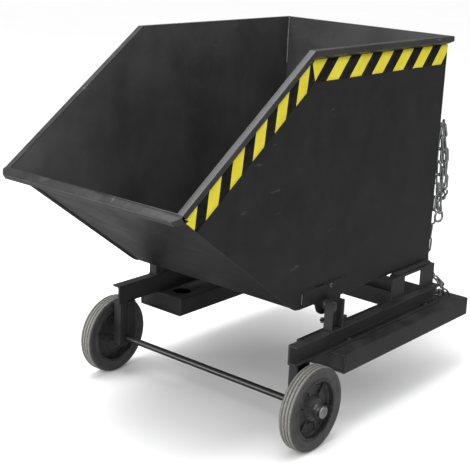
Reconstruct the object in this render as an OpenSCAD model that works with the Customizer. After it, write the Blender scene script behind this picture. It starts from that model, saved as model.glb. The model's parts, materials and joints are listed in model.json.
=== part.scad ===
// Tipping skip on a wheeled base frame with fork pockets.
// A folded steel tub turns on a cross shaft near its front and rests on two rails at the back.
// Frame: +Z up, ground at Z = 0, the pouring lip faces -Y, +X is the near side.

/* [Tub] */
// Width of the tub between the inner faces of its side panels
tub_inner_w = 624; // [500:4:640]
// Height of the top rim above the ground
rim_z = 1131.4; // [1000:1:1300]
// Slope of the mouth between the lip and the top rim, degrees
mouth_angle = 35.78; // [30:0.1:42]
// Sheet thickness of the tub
sheet = 3; // [2:0.5:4]
// Width of the folded rim, outward from the inner face
rim_w = 21; // [18:1:22]
// Height of the floor's underside above the ground
floor_z = 391; // [389:1:400]
// Width of the hazard tape
tape_w = 62; // [40:1:80]

/* [Frame] */
// Height of the steel channels
channel_h = 60; // [60:1:60]
// Flange width of the steel channels
channel_b = 30; // [26:1:32]
// Wall thickness of the steel channels
channel_t = 6; // [5:0.5:7]
// Inner width of a fork pocket
pocket_w = 170; // [150:2:180]
// Inner height of a fork pocket
pocket_h = 50; // [50:1:50]
// Wall thickness of a fork pocket
pocket_t = 5; // [4:0.5:5]
// Diameter of the tub's pivot shaft and of the wheel axle
shaft_d = 20; // [20:1:20]
// Radial running clearance of shafts and pins
run_fit = 0.05; // [0.02:0.01:0.1]

/* [Wheels] */
// Diameter of the two front wheels
wheel_d = 250; // [250:1:250]
// Tread width of a front wheel
tyre_w = 45; // [40:1:48]
// Depth of the grooves in the tread
groove_d = 2.5; // [1:0.5:4]
// Diameter of the rear swivel castor's wheel
castor_d = 80; // [80:1:80]
// Tread width of the castor's wheel
castor_w = 30; // [28:1:31]
// How far the castor's wheel trails behind its swivel axis
castor_trail = 28; // [26:1:30]

/* [Hidden] */
$fn = 64;

// Half width of the tub's cavity, and the outer face of a side panel
xi = tub_inner_w / 2;
xo = xi + sheet;
// Mouth corner where the slope meets the level rim, and the slope's lower reference point
corner_y = -167.3;
lip_z = 759.9;
lip_y = corner_y - (rim_z - lip_z) / tan(mouth_angle);
slope_len = (rim_z - lip_z) / sin(mouth_angle);
mouth_dir = [cos(mouth_angle), sin(mouth_angle)];
fold = 2.5;
// Front plate: a point of its outer face, its direction, and its inward normal
front_angle = 35.98;
front_dir = [cos(front_angle), -sin(front_angle)];
front_in = [sin(front_angle), cos(front_angle)];
front_pt = [-679.2, 767.5];
strip = 6;
rear_in = 566;
panel_end = 579;
panel_bot = floor_z - 4;
// Pivot of the tub
piv_y = -21;
piv_z = 374;
shaft_r = shaft_d / 2;
// Frame levels
pocket_z0 = 188;
deck_z = pocket_z0 + pocket_h + 2 * pocket_t;
top_z = deck_z + channel_h;
web = 336;
pocket_x0 = 234;
pocket_x1 = pocket_x0 + pocket_w + 2 * pocket_t;
pocket_y0 = -34;
pocket_y1 = 697;
// Wheels
axle_y = -176;
axle_z = wheel_d / 2;
tyre_x0 = 377;
// Castor
sw_y = 503;
foot_z = 106;
cw_y = sw_y + castor_trail;
cw_z = castor_d / 2;
// Latch
lp_y = 560;
lp_z = 325;
lean = 25;

// Where two lines cross: a point and a direction for each
function cross2(a, b) = a[0] * b[1] - a[1] * b[0];
function meet(p, d, q, f) = p + d * (cross2(q - p, f) / cross2(d, f));
function unit(v) = v / norm(v);

// Corner points of a polygon rounded to the radii in rs, as short arcs
function corner(p, c, n, r) =
    let (
        u = unit(p - c),
        v = unit(n - c),
        half = acos(max(-1, min(1, u * v))) / 2,
        reach = r / tan(half),
        mid = c + unit(u + v) * (r / sin(half)),
        a0 = atan2((c + u * reach - mid)[1], (c + u * reach - mid)[0]),
        a1 = atan2((c + v * reach - mid)[1], (c + v * reach - mid)[0]),
        turn = a1 - a0 > 180 ? a1 - a0 - 360 : a1 - a0 < -180 ? a1 - a0 + 360 : a1 - a0,
        steps = max(2, ceil(abs(turn) / 18))
    )
    [for (k = [0:steps]) mid + r * [cos(a0 + turn * k / steps), sin(a0 + turn * k / steps)]];
function soft(pts, rs) =
    let (n = len(pts))
    [for (i = [0:n - 1]) each rs[i] <= 0 ? [pts[i]] :
        corner(pts[(i + n - 1) % n], pts[i], pts[(i + 1) % n], rs[i])];

// A YZ outline drawn out along X from x0 to x1
module side(x0, x1) {
    translate([x0, 0, 0])
        rotate([90, 0, 90])
            linear_extrude(x1 - x0)
                children();
}

// An XZ outline drawn out along +Y from y0 to y1
module along(y0, y1) {
    translate([0, y1, 0])
        rotate([90, 0, 0])
            linear_extrude(y1 - y0)
                children();
}

// A cylinder along +X
module rod(x0, x1, r, y, z) {
    translate([x0, y, z])
        rotate([0, 90, 0])
            cylinder(r = r, h = x1 - x0);
}

module far() {
    mirror([1, 0, 0])
        children();
}

// Rolled channel: web at a = 0, flanges towards +a, height along b
function channel_pts(h, b, t) = soft(
    [[0, 0], [b, 0], [b, t], [t, t], [t, h - t], [b, h - t], [b, h], [0, h]],
    [1.2, 0.8, 3, 5, 5, 3, 0.8, 1.2]
);

// ---------- tub ----------

mouth_pt = [lip_y, lip_z];
under_pt = mouth_pt + fold * [sin(mouth_angle), -cos(mouth_angle)];
front_top = meet(front_pt, front_dir, under_pt, mouth_dir);
front_bot = meet(front_pt, front_dir, [0, floor_z], [1, 0]);
front_pt2 = front_pt + sheet * front_in;
front_top2 = meet(front_pt2, front_dir, under_pt, mouth_dir);
front_bot2 = meet(front_pt2, front_dir, [0, floor_z + sheet], [1, 0]);
edge_pt = front_pt - strip * front_in;
rim_drop = 27;
notch_pt = mouth_pt + (rim_drop + 1) * [sin(mouth_angle), -cos(mouth_angle)];
panel_top = [corner_y + fold * tan(mouth_angle / 2), rim_z - fold];

module side_panel() {
    notch = meet(front_pt, front_dir, notch_pt, mouth_dir);
    step = meet(edge_pt, front_dir, notch_pt, mouth_dir);
    foot = meet(edge_pt, front_dir, [0, panel_bot], [1, 0]);
    side(xi, xo)
        polygon(soft(
            [front_top, panel_top, [rear_in + sheet, rim_z - fold],
             [rear_in + sheet, rim_z - rim_drop - 1], [panel_end, rim_z - rim_drop - 1],
             [panel_end, panel_bot], foot, step, notch],
            [0, 0, 0, 0, 0, 3, 70, 0, 0]
        ));
}

module side_panel_near() {
    color("#2b2e31") side_panel();
}

module side_panel_far() {
    color("#2b2e31") far() side_panel();
}

module front_plate() {
    color("#2b2e31")
        side(-xi, xi)
            polygon([front_top, front_bot, front_bot2, front_top2]);
}

module floor_plate() {
    color("#2b2e31")
        side(-xi, xi)
            polygon([front_bot, [rear_in, floor_z], [rear_in, floor_z + sheet], front_bot2]);
}

module rear_panel() {
    color("#2b2e31")
        translate([-xi, rear_in, floor_z])
            cube([2 * xi, sheet, rim_z - fold - floor_z]);
}

// Folded rim: flat top, outer face and a return flange back to the panel
rim_pts = soft(
    [[0, -fold], [0, 0], [rim_w, 0], [rim_w, -17], [sheet, -rim_drop], [sheet, -rim_drop + 2.9],
     [rim_w - fold, -15.5], [rim_w - fold, -fold]],
    [0, 0, 3.4, 3.4, 0, 0, 0.9, 0.9]
);

// Half space beyond a plane through the point p, leaning at the angle a in YZ
module beyond(p, a) {
    translate([0, p[0], p[1]])
        rotate([a, 0, 0])
            translate([-600, 0, -600])
                cube([1200, 1200, 1200]);
}

module rim_slope() {
    difference() {
        translate([xi, lip_y, lip_z])
            rotate([mouth_angle, 0, 0])
                along(-20, slope_len + 20)
                    polygon(rim_pts);
        beyond([corner_y, rim_z], mouth_angle / 2);
        translate([0, front_pt[0], front_pt[1]])
            rotate([90 - front_angle, 0, 0])
                translate([-600, -1200, -600])
                    cube([1200, 1200, 1200]);
    }
}

module rim_slope_near() {
    color("#3a3d40") rim_slope();
}

module rim_slope_far() {
    color("#3a3d40") far() rim_slope();
}

module rim_top() {
    difference() {
        translate([xi, 0, rim_z])
            along(corner_y - 20, rear_in + 40)
                polygon(rim_pts);
        mirror([0, 1, 0])
            beyond([-corner_y, rim_z], -mouth_angle / 2);
        translate([xi, rear_in, rim_z])
            rotate([0, 0, 45])
                translate([-60, 0, -60])
                    cube([160, 160, 90]);
    }
}

module rim_top_near() {
    color("#3a3d40") rim_top();
}

module rim_top_far() {
    color("#3a3d40") far() rim_top();
}

module rim_rear() {
    color("#3a3d40")
        difference() {
            translate([0, rear_in, rim_z])
                rotate([0, 0, 90])
                    along(-xi - 40, xi + 40)
                        polygon(rim_pts);
            for (m = [0, 1])
                mirror([m, 0, 0])
                    translate([xi, rear_in, rim_z])
                        rotate([0, 0, 45])
                            translate([-60, -160, -60])
                                cube([160, 160, 90]);
        }
}

// Lip: the same fold across the pouring edge, its corners cut at 45 degrees and closed
lip_reach = 18;
function on_plate(b) =
    let (p = meet(front_pt, front_dir, mouth_pt + b * [sin(mouth_angle), -cos(mouth_angle)], mouth_dir))
    [(p - mouth_pt) * mouth_dir, -b];

module lip_outline(hollow) {
    outer = soft(
        [on_plate(0), [-lip_reach, 0], [-lip_reach, -17], on_plate(rim_drop)],
        [0, 3.4, 3.4, 0]
    );
    inner = soft(
        [on_plate(fold), [-lip_reach + fold, -fold], [-lip_reach + fold, -15.1], on_plate(rim_drop - 2.8)],
        [0, 0.9, 0.9, 0]
    );
    difference() {
        polygon(outer);
        if (hollow)
            polygon(inner);
    }
}

module rim_lip() {
    out = xi + rim_w;
    cut = 18;
    color("#3a3d40")
        translate([0, lip_y, lip_z])
            rotate([mouth_angle, 0, 0]) {
                difference() {
                    side(-out, out)
                        lip_outline(true);
                    for (m = [0, 1])
                        mirror([m, 0, 0])
                            translate([out - cut, -lip_reach, -60])
                                rotate([0, 0, 45])
                                    translate([0, -60, 0])
                                        cube([60, 60, 120]);
                }
                for (m = [0, 1])
                    mirror([m, 0, 0])
                        difference() {
                            side(out - cut - 4, out)
                                lip_outline(false);
                            translate([out - cut, -lip_reach, -60])
                                rotate([0, 0, 45])
                                    translate([0, -60, 0])
                                        cube([60, 60, 120]);
                            translate([out - cut, -lip_reach, -60])
                                rotate([0, 0, 45])
                                    translate([-20, fold, 0])
                                        cube([60, 60, 120]);
                        }
                side(-xi, xi)
                    polygon([on_plate(0), on_plate(fold), on_plate(fold) + [sheet + 0.2, 0],
                             on_plate(0) + [sheet + 0.2, 0]]);
            }
}

module hazard_tape() {
    n = [sin(mouth_angle), -cos(mouth_angle)];
    hi = rim_drop + 0.5;
    lo = hi + tape_w;
    top_z0 = rim_z - hi;
    low_z0 = rim_z - lo;
    m_hi = mouth_pt + hi * n;
    m_lo = mouth_pt + lo * n;
    side(xo, xo + 0.4)
        polygon([
            meet(edge_pt, front_dir, m_hi, mouth_dir) + 2 * mouth_dir,
            meet(m_hi, mouth_dir, [0, top_z0], [1, 0]),
            [panel_end - 1, top_z0],
            [panel_end - 1, low_z0],
            meet(m_lo, mouth_dir, [0, low_z0], [1, 0]),
            meet(edge_pt, front_dir, m_lo, mouth_dir) + 2 * mouth_dir
        ]);
}

module hazard_tape_near() {
    color("gold") hazard_tape();
}

module hazard_tape_far() {
    color("gold") far() hazard_tape();
}

// Doubler plate that carries the pivot bush below the tub
ear_t = 6;
bush_r = 14;

module pivot_ear() {
    difference() {
        side(xo, xo + ear_t)
            union() {
                polygon(soft([[-135, panel_bot + 8], [-135, 439], [81, 439], [81, panel_bot + 0.5]],
                             [0, 3, 3, 3]));
                translate([-29, 389])
                    circle(r = 40);
            }
        rod(xo - 1, xo + ear_t + 1, bush_r, piv_y, piv_z);
    }
}

module pivot_ear_near() {
    color("#34373a") pivot_ear();
}

module pivot_ear_far() {
    color("#34373a") far() pivot_ear();
}

// Flanged bushes pressed into the ears
module ear_bushes() {
    color("silver")
        for (m = [0, 1])
            mirror([m, 0, 0])
                difference() {
                    union() {
                        rod(xo, xo + ear_t, bush_r, piv_y, piv_z);
                        rod(xo + ear_t, 328, 17, piv_y, piv_z);
                    }
                    rod(xo - 5, 335, shaft_r + run_fit, piv_y, piv_z);
                }
}

module ear_bolts() {
    color("silver")
        for (m = [0, 1])
            mirror([m, 0, 0])
                translate([xo + ear_t, -0.5, 431])
                    rotate([0, 90, 0]) {
                        cylinder(r = 6.5, h = 1.2);
                        translate([0, 0, 1.2])
                            cylinder(r = 5.6, h = 3, $fn = 6);
                    }
}

// Hook on the rear panel that the spare chain hangs over
hook_x = 307;
hook_y = 613;
hook_z = 838;

module chain_hook() {
    color("silver") {
        translate([hook_x - 12, rear_in + sheet, hook_z - 14])
            cube([14, 3, 30]);
        translate([hook_x, rear_in + sheet + 3, hook_z])
            rotate([-90, 0, 0])
                cylinder(r = 4.5, h = hook_y - rear_in - sheet - 3);
        translate([hook_x, hook_y, hook_z])
            sphere(r = 4.5);
        translate([hook_x, hook_y, hook_z])
            cylinder(r = 4.5, h = 14);
        translate([hook_x, hook_y, hook_z + 14])
            sphere(r = 4.5);
    }
}

// Outer shape of the looped spare chain
module chain_bundle() {
    color("gainsboro")
        side(300, 336)
            polygon(soft([[604, 549], [600, 700], [606, 833], [624, 833], [637, 712], [630, 549]],
                         [6, 20, 6, 6, 20, 6]));
}

// Single run of chain down behind the tub
module chain_run() {
    color("gainsboro")
        translate([309, 601, 330])
            cylinder(r = 7, h = 216);
}

module chain_end_ring() {
    color("silver")
        translate([320, 614, 524])
            rotate([0, 90, 0])
                rotate_extrude()
                    translate([19, 0])
                        circle(r = 4, $fn = 24);
}

// Bar under the floor that the latch hook closes over
keep_y = 552;
keep_z = 372;

module latch_keeper() {
    color("silver") {
        rod(-27, 27, 6, keep_y, keep_z);
        for (m = [0, 1])
            mirror([m, 0, 0])
                side(21, 27)
                    polygon(soft([[keep_y - 12, floor_z], [keep_y - 12, keep_z - 10],
                                  [keep_y + 10, keep_z - 10], [keep_y + 10, floor_z]],
                                 [0, 7, 7, 0]));
    }
}

// ---------- base frame ----------

module channel() {
    translate([web, 0, deck_z])
        along(-214, 587)
            polygon(channel_pts(channel_h, channel_b, channel_t));
    side(web, web + channel_t)
        polygon(soft([[48, top_z - 0.5], [48, top_z + 20], [66, top_z + 20], [66, top_z - 0.5]],
                     [0, 4, 4, 0]));
}

module channel_near() {
    color("#303336") channel();
}

module channel_far() {
    color("#303336") far() channel();
}

module box_pts(x0, x1, z0, z1, r) {
    polygon(soft([[x0, z0], [x1, z0], [x1, z1], [x0, z1]], [r, r, r, r]));
}

module fork_pocket() {
    difference() {
        along(pocket_y0, pocket_y1)
            box_pts(pocket_x0, pocket_x1, pocket_z0, deck_z, 5);
        along(pocket_y0 - 1, pocket_y1 + 1)
            box_pts(pocket_x0 + pocket_t, pocket_x1 - pocket_t, pocket_z0 + pocket_t,
                    deck_z - pocket_t, 2);
        translate([291, 33, deck_z - 12])
            cylinder(r = 30, h = 20);
    }
}

module fork_pocket_near() {
    color("#2f3235") fork_pocket();
}

module fork_pocket_far() {
    color("#2f3235") far() fork_pocket();
}

module pocket_end_plates() {
    color("#44474a")
        for (m = [0, 1])
            mirror([m, 0, 0])
                along(pocket_y0 + 3, pocket_y0 + 8)
                    box_pts(pocket_x0 + pocket_t, pocket_x1 - pocket_t, pocket_z0 + pocket_t,
                            deck_z - pocket_t, 2);
}

beam_y0 = 403;
beam_y1 = 535;
beam_t = 5;

module rear_crossbeam() {
    color("#34373a")
        side(-web, web)
            polygon(soft(
                [[beam_y0, deck_z + 2], [beam_y0 + beam_t, deck_z + 2],
                 [beam_y0 + beam_t, top_z - beam_t], [beam_y1 - beam_t, top_z - beam_t],
                 [beam_y1 - beam_t, deck_z + 2], [beam_y1, deck_z + 2], [beam_y1, top_z],
                 [beam_y0, top_z]],
                [0.6, 0.6, 3, 3, 0.6, 0.6, 7, 7]));
}

up_y = -18;

module upright() {
    difference() {
        translate([web, up_y - channel_h / 2, top_z])
            linear_extrude(88)
                polygon(channel_pts(channel_h, channel_b, channel_t));
        rod(web - 1, web + channel_t + 1, shaft_r + 0.02, piv_y, piv_z);
    }
    side(web, web + channel_t)
        polygon([[up_y + 30, top_z], [up_y + 62, top_z], [up_y + 62, top_z + 8],
                 [up_y + 38, top_z + 46], [up_y + 30, top_z + 46]]);
}

module upright_near() {
    color("#34373a") upright();
}

module upright_far() {
    color("#34373a") far() upright();
}

rail_z = 374;

module rear_rest() {
    for (y = [[317, 391], [494, 576]])
        side(web, web + channel_t)
            polygon([[y[0], top_z], [y[1], top_z], [y[1], rail_z], [y[0], rail_z]]);
    translate([0, 0, rail_z])
        linear_extrude(6)
            polygon([[307, 353], [web, 321], [web + channel_t, 317], [web + channel_t, 576],
                     [307, 576]]);
}

module rear_rest_near() {
    color("#2c2f32") rear_rest();
}

module rear_rest_far() {
    color("#2c2f32") far() rear_rest();
}

module rest_pads() {
    color("#1c1c1c")
        for (m = [0, 1])
            mirror([m, 0, 0])
                along(358, 568)
                    polygon(soft([[308, rail_z + 6], [331, rail_z + 6], [331, panel_bot - 0.3],
                                  [308, panel_bot - 0.3]],
                                 [0, 0, 2, 2]));
}

module pivot_shaft() {
    color("silver")
        rod(-355, 355, shaft_r, piv_y, piv_z);
}

module pivot_spacers() {
    color("#34373a")
        for (m = [0, 1])
            mirror([m, 0, 0])
                difference() {
                    rod(328.3, web, 16, piv_y, piv_z);
                    rod(327, web + 1, shaft_r + 0.02, piv_y, piv_z);
                }
}

module pivot_nuts() {
    color("silver")
        for (m = [0, 1])
            mirror([m, 0, 0])
                difference() {
                    union() {
                        rod(web + channel_t, web + channel_t + 2.5, 17.6, piv_y, piv_z);
                        translate([web + channel_t + 2.5, piv_y, piv_z])
                            rotate([0, 90, 0])
                                cylinder(r = 17.3, h = 7, $fn = 6);
                    }
                    rod(web, 370, shaft_r + 0.02, piv_y, piv_z);
                }
}

module wheel_bracket() {
    difference() {
        union() {
            translate([web, axle_y - 30, axle_z - 20])
                linear_extrude(deck_z - axle_z + 20)
                    polygon(channel_pts(channel_h, channel_b, channel_t));
            side(web - 6, web)
                polygon(soft([[-175, 140], [-147, 140], [-147, deck_z], [-175, deck_z]],
                             [4, 1, 0, 0]));
        }
        rod(web - 10, web + 10, shaft_r + 0.02, axle_y, axle_z);
    }
}

module wheel_bracket_near() {
    color("#55585b") wheel_bracket();
}

module wheel_bracket_far() {
    color("#55585b") far() wheel_bracket();
}

hub_x0 = 373;
hub_x1 = 430.7;

module axle_rod() {
    color("#5a5c5e") {
        rod(-437, 437, shaft_r, axle_y, axle_z);
        for (m = [0, 1])
            mirror([m, 0, 0])
                rod(hub_x1 + 0.4, hub_x1 + 3.4, 12.5, axle_y, axle_z);
    }
}

module axle_collars() {
    color("#2c2f32")
        for (m = [0, 1])
            mirror([m, 0, 0])
                difference() {
                    rod(web + channel_t, hub_x0 - 0.3, 14.5, axle_y, axle_z);
                    rod(web, hub_x0 + 1, shaft_r + 0.02, axle_y, axle_z);
                }
}

module latch_bracket() {
    color("#34373a")
        for (m = [0, 1])
            mirror([m, 0, 0]) {
                difference() {
                    side(14, 20)
                        polygon(soft([[beam_y1, 262], [beam_y1, 348], [575, 348], [604, 344],
                                      [604, 325], [575, 300]],
                                     [0, 6, 6, 6, 6, 10]));
                    rod(10, 25, 6.02, lp_y, lp_z);
                }
                rod(0, 14, 4, lp_y + 32.3, lp_z + 12);
            }
}

module latch_pin() {
    color("silver") {
        rod(-24, 24, 6, lp_y, lp_z);
        rod(20.3, 24.3, 9, lp_y, lp_z);
        rod(-24.3, -20.3, 9, lp_y, lp_z);
    }
}

// Bolts through the channel's lower flange into the fork pocket
module pocket_bolts() {
    color("silver")
        for (m = [0, 1])
            mirror([m, 0, 0])
                for (y = [58, 504])
                    translate([web + 21, y, deck_z + channel_t]) {
                        cylinder(r = 8, h = 1.6);
                        translate([0, 0, 1.6])
                            cylinder(r = 6.9, h = 6, $fn = 6);
                    }
}

// Locking pin and its shackle on the pocket behind the channel
module chain_shackle() {
    color("silver") {
        translate([326, 628, deck_z])
            cube([18, 22, 4]);
        translate([335, 639, deck_z + 4])
            cylinder(r = 6, h = 20);
        translate([335, 639, deck_z + 24])
            rotate([90, 0, 20])
                rotate_extrude()
                    translate([13, 0])
                        circle(r = 4, $fn = 24);
    }
}

module castor_post() {
    color("#34373a") {
        translate([0, sw_y, foot_z])
            difference() {
                linear_extrude(top_z - beam_t - foot_z)
                    polygon(soft([[-18, -18], [18, -18], [18, 18], [-18, 18]], [4, 4, 4, 4]));
                translate([0, 0, -1])
                    linear_extrude(top_z - beam_t - foot_z + 2)
                        polygon(soft([[-15, -15], [15, -15], [15, 15], [-15, 15]], [2, 2, 2, 2]));
            }
        translate([-31, sw_y - 31, foot_z - 6])
            cube([62, 62, 6]);
    }
}

module castor_top_plate() {
    color("silver")
        difference() {
            union() {
                translate([-31, sw_y - 31, foot_z - 9])
                    cube([62, 62, 3]);
                translate([0, sw_y, foot_z - 16])
                    cylinder(r = 23, h = 7);
                translate([0, sw_y, foot_z - 26.4])
                    cylinder(r = 6, h = 12);
                translate([0, sw_y, foot_z - 26.4])
                    cylinder(r = 9, h = 4.1, $fn = 6);
            }
            for (sx = [-1, 1], sy = [-1, 1])
                translate([sx * 25, sw_y + sy * 25, foot_z - 10])
                    cylinder(r = 3.2, h = 5);
        }
}

module castor_bolts() {
    color("silver")
        for (sx = [-1, 1], sy = [-1, 1])
            translate([sx * 25, sw_y + sy * 25, 0]) {
                translate([0, 0, foot_z])
                    cylinder(r = 5.7, h = 5, $fn = 6);
                translate([0, 0, foot_z - 13])
                    cylinder(r = 5.7, h = 4, $fn = 6);
            }
}

// ---------- front wheels ----------

tyre_r = wheel_d / 2;
rim_r = 92;

// Grooved tread between rounded shoulders, and a bead seat on the disc
tyre_pts = concat(
    [[rim_r, 4], [rim_r + 2, 4.4], [rim_r + 11, 3.6], [rim_r + 16, 2.2], [rim_r + 19, 0.5],
     [tyre_r - 10, 0], [tyre_r - 4, 1.5],
     [tyre_r - 1.5, 4.5], [tyre_r, 8]],
    [for (g = [12, 22.5, 33]) each
        [[tyre_r, g - 2], [tyre_r - groove_d, g - 1.2], [tyre_r - groove_d, g + 1.2],
         [tyre_r, g + 2]]],
    [[tyre_r, tyre_w - 8], [tyre_r - 1.5, tyre_w - 4.5], [tyre_r - 4, tyre_w - 1.5],
     [tyre_r - 10, tyre_w], [rim_r + 19, tyre_w - 0.5], [rim_r + 16, tyre_w - 2.2],
     [rim_r + 11, tyre_w - 3.6], [rim_r + 2, tyre_w - 4.4],
     [rim_r, tyre_w - 4]]
);

module tyre() {
    translate([tyre_x0, axle_y, axle_z])
        rotate([0, 90, 0])
            rotate_extrude($fn = 120)
                polygon(tyre_pts);
}

// Moulded disc: rim with lips, dished web, coned hub and radial ribs
module wheel_disc() {
    h0 = hub_x0 - tyre_x0;
    h1 = hub_x1 - tyre_x0;
    bore = shaft_r + run_fit;
    translate([tyre_x0, axle_y, axle_z])
        rotate([0, 90, 0]) {
            rotate_extrude($fn = 120)
                polygon([
                    [bore, h0], [25, h0], [26, 14], [44, 18], [57, 18], [59, 16.4], [66, 16.4],
                    [68, 18], [78, 18], [83, 14], [83, 3], [84.5, 1], [87, 0.3], [89.5, 1],
                    [rim_r - 0.5, 3.4], [rim_r, 4], [rim_r, tyre_w - 4],
                    [rim_r - 0.5, tyre_w - 3.4], [89.5, tyre_w - 1], [87, tyre_w - 0.3],
                    [84.5, tyre_w - 1], [83, tyre_w - 3], [83, 28], [78, 23], [70, 23],
                    [68.5, 24.5], [64, 24.5], [62.5, 23], [48, 23], [42, 26], [34, 40],
                    [24, 46], [22, h1 - 1], [21, h1], [bore, h1]
                ]);
            for (k = [0:5])
                rotate([0, 0, 60 * k + 20])
                    translate([16, -2.5, 20])
                        cube([71, 5, 8.5]);
        }
}

module hub_cap() {
    translate([hub_x1, axle_y, axle_z])
        rotate([0, 90, 0])
            rotate_extrude($fn = 64)
                polygon([[15.5, 0], [18.5, 0], [18.5, 12], [17, 15], [14, 16.3], [6, 16.3],
                         [5, 15], [0, 15], [0, 12.5], [13.5, 12.5], [15.5, 11]]);
}

module tyre_near() {
    color("#8d8a82") tyre();
}

module tyre_far() {
    color("#8d8a82") far() tyre();
}

module wheel_disc_near() {
    color("#2a2a2c") wheel_disc();
}

module wheel_disc_far() {
    color("#2a2a2c") far() wheel_disc();
}

module hub_cap_near() {
    color("gainsboro") hub_cap();
}

module hub_cap_far() {
    color("gainsboro") far() hub_cap();
}

// ---------- castor ----------

module castor_fork() {
    color("silver")
        difference() {
            union() {
                translate([0, sw_y, foot_z - 22])
                    cylinder(r = 24, h = 5.7);
                for (m = [0, 1])
                    mirror([m, 0, 0])
                        side(17.5, 20.5)
                            polygon(soft([[sw_y - 16, foot_z - 19], [sw_y + 24, foot_z - 19],
                                          [cw_y + 11, cw_z + 9], [cw_y + 10, cw_z - 11],
                                          [cw_y - 10, cw_z - 11], [cw_y - 14, cw_z + 12]],
                                         [0, 0, 8, 9, 9, 14]));
            }
            translate([0, sw_y, foot_z - 30])
                cylinder(r = 6 + run_fit, h = 20);
            rod(-30, 30, 5.02, cw_y, cw_z);
        }
}

module castor_axle_bolt() {
    color("silver") {
        rod(-20.5, 20.5, 5, cw_y, cw_z);
        for (m = [0, 1])
            mirror([m, 0, 0])
                translate([20.5, cw_y, cw_z])
                    rotate([0, 90, 0])
                        cylinder(r = 8.6, h = 5, $fn = 6);
    }
}

module castor_core() {
    color("#2a2a2c")
        translate([0, cw_y, cw_z])
            rotate([0, 90, 0])
                rotate_extrude($fn = 96)
                    polygon([[5 + run_fit, -17.2], [10, -17.2], [11.5, -6], [23, -5], [24.5, -12.5],
                             [29, -13], [29, 13], [24.5, 12.5], [23, 5], [11.5, 6], [10, 17.2],
                             [5 + run_fit, 17.2]]);
}

module castor_tyre() {
    color("#3a3a3a")
        translate([0, cw_y, cw_z])
            rotate([0, 90, 0])
                rotate_extrude($fn = 96)
                    polygon([[29, -castor_w / 2 + 2], [36, -castor_w / 2], [38.7, -castor_w / 2 + 3],
                             [39.8, -castor_w / 2 + 8], [castor_d / 2, 0],
                             [39.8, castor_w / 2 - 8], [38.7, castor_w / 2 - 3],
                             [36, castor_w / 2], [29, castor_w / 2 - 2]]);
}

// ---------- latch ----------

// Drawn closed over the keeper bar, then leaned back to its released rest
module latch_place() {
    translate([0, lp_y, lp_z])
        rotate([-lean, 0, 0])
            children();
}

module latch_lever() {
    color("#44474a")
        latch_place()
            difference() {
                union() {
                    side(-5, 5)
                        union() {
                            circle(r = 13);
                            difference() {
                                intersection() {
                                    polygon([[-18, 0], [17, 0], [17, 70], [-18, 70]]);
                                    circle(r = 63);
                                }
                                circle(r = 54.6);
                            }
                            polygon([[1, 2], [13, 2], [26, 52], [17, 60], [1, 58]]);
                            difference() {
                                polygon([[4, 6], [12, 3], [45, 98], [36, 101]]);
                                translate([42, 101])
                                    circle(r = 9);
                            }
                        }
                    rod(-13.6, 13.6, 12, 0, 0);
                }
                rod(-20, 20, 6 + run_fit, 0, 0);
            }
}

module latch_grip() {
    color("#1c1c1c")
        latch_place()
            rod(-45, 45, 9, 42, 101);
}

side_panel_near();
side_panel_far();
front_plate();
floor_plate();
rear_panel();
rim_slope_near();
rim_slope_far();
rim_top_near();
rim_top_far();
rim_lip();
rim_rear();
hazard_tape_near();
hazard_tape_far();
pivot_ear_near();
pivot_ear_far();
ear_bushes();
ear_bolts();
chain_hook();
chain_bundle();
chain_run();
chain_end_ring();
latch_keeper();
channel_near();
channel_far();
fork_pocket_near();
fork_pocket_far();
pocket_end_plates();
rear_crossbeam();
upright_near();
upright_far();
rear_rest_near();
rear_rest_far();
rest_pads();
pivot_shaft();
pivot_spacers();
pivot_nuts();
wheel_bracket_near();
wheel_bracket_far();
axle_rod();
axle_collars();
latch_bracket();
latch_pin();
pocket_bolts();
chain_shackle();
castor_post();
castor_top_plate();
castor_bolts();
tyre_near();
wheel_disc_near();
hub_cap_near();
tyre_far();
wheel_disc_far();
hub_cap_far();
castor_fork();
castor_axle_bolt();
castor_core();
castor_tyre();
latch_lever();
latch_grip();
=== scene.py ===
import json
import math
import random

import bmesh
import bpy
from mathutils import Matrix, Vector


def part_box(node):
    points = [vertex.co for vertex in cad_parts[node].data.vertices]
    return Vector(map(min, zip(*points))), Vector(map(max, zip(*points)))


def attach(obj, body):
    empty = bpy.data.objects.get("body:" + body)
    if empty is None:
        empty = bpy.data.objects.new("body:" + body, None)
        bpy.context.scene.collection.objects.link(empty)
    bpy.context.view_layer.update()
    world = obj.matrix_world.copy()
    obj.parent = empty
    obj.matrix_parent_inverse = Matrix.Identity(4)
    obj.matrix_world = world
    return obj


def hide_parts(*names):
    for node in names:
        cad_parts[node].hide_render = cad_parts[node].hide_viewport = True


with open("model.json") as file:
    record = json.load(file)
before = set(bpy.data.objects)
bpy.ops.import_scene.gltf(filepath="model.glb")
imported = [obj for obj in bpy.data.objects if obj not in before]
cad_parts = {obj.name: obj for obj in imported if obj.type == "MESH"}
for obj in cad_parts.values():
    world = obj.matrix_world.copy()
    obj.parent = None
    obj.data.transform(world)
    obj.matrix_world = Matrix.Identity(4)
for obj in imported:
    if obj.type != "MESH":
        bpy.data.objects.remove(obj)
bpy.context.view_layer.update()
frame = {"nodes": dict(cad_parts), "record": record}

parts = frame["nodes"]
scene = bpy.context.scene
MM = 0.001


# ---------- finishes ----------

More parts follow.
